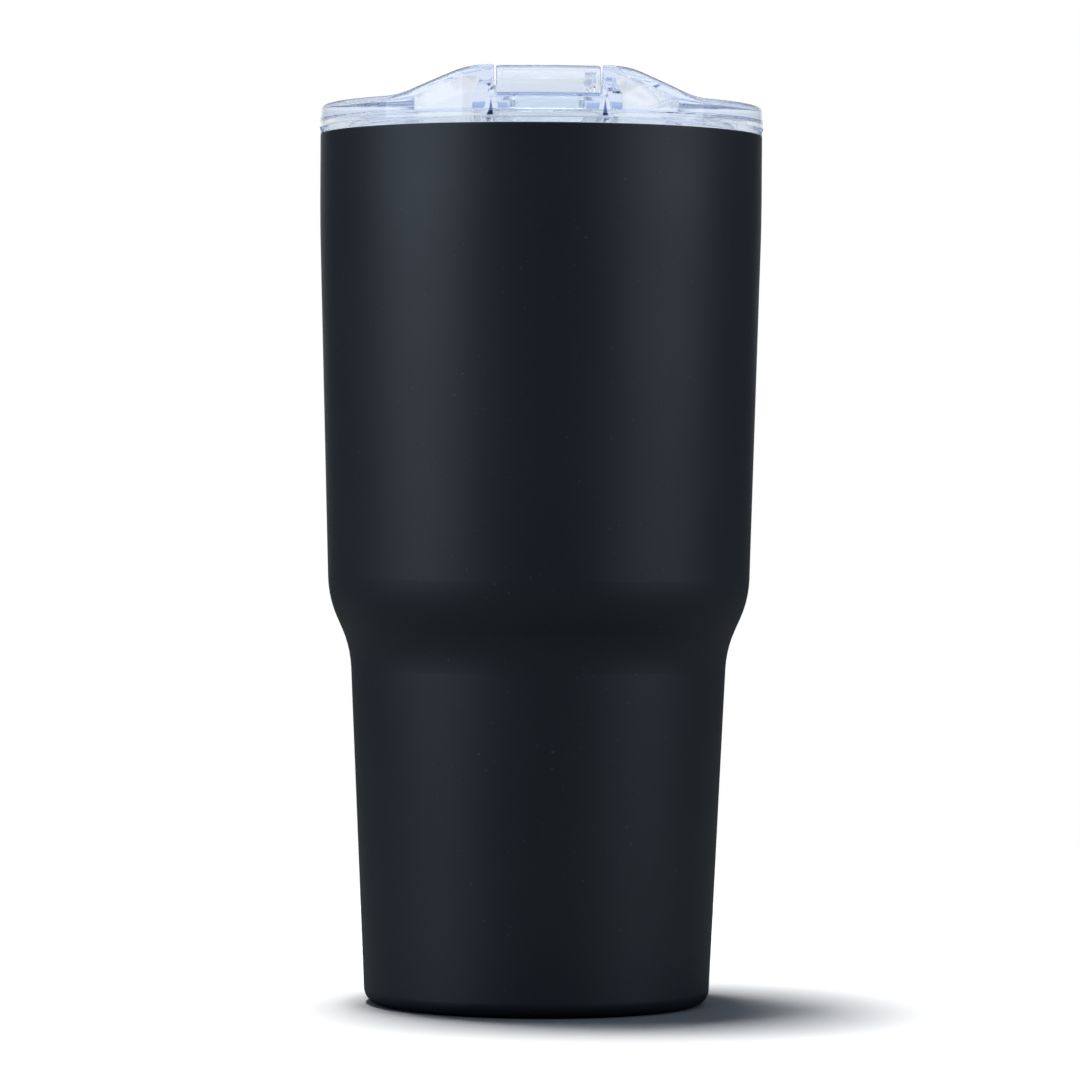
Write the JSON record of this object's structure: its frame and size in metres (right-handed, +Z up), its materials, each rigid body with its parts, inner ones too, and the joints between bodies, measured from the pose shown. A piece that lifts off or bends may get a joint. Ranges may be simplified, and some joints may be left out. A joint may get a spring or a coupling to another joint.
{
  "type": "insulated travel mug",
  "caption": "Double-walled insulated travel mug with a stepped waist, a steel liner and a clear push-on lid whose centre flip tab shuts a sip hole and a vent.",
  "frame": {"origin": "centre of the base, on the table", "axes": "+Z up along the mug's axis, -Y towards the drinking side, +X to the right of someone who faces that side"},
  "size_m": [0.088, 0.088, 0.1825],
  "materials": {
    "powder_coat": "matte black powder coat",
    "liner_steel": "electropolished satin",
    "cover_steel": "spun satin",
    "clip_steel": "as stamped",
    "getter_alloy": "sintered",
    "seal_glass": "fused bead",
    "silicone": "satin translucent",
    "clear_plastic": "clear with a faint blue tint"
  },
  "bodies": {
    "cup": {"outer_shell": "powder_coat", "inner_liner": "liner_steel", "liner_floor": "liner_steel", "base_plate": "powder_coat", "base_cover": "cover_steel", "vacuum_seal": "seal_glass", "getter_holder": "clip_steel", "getter_pellet": "getter_alloy"},
    "gasket": {"lid_gasket": "silicone"},
    "lid": {"lid_shell": "clear_plastic"},
    "tab": {"flip_tab": "clear_plastic", "sip_plug": "silicone", "vent_plug": "silicone"}
  },
  "joints": [
    {"name": "lid_lift", "type": "slide", "parent": "cup", "child": "gasket", "axis": [0, 0, 1], "range_m": [0, 0.012]},
    {"name": "lid_turn", "type": "hinge", "parent": "gasket", "child": "lid", "pos_m": [0, 0, 0.165], "axis": [0, 0, 1], "continuous": true},
    {"name": "tab_flip", "type": "hinge", "parent": "lid", "child": "tab", "pos_m": [0, 0, 0.1798], "axis": [-1, 0, 0], "range_deg": [0, 180]}
  ]
}
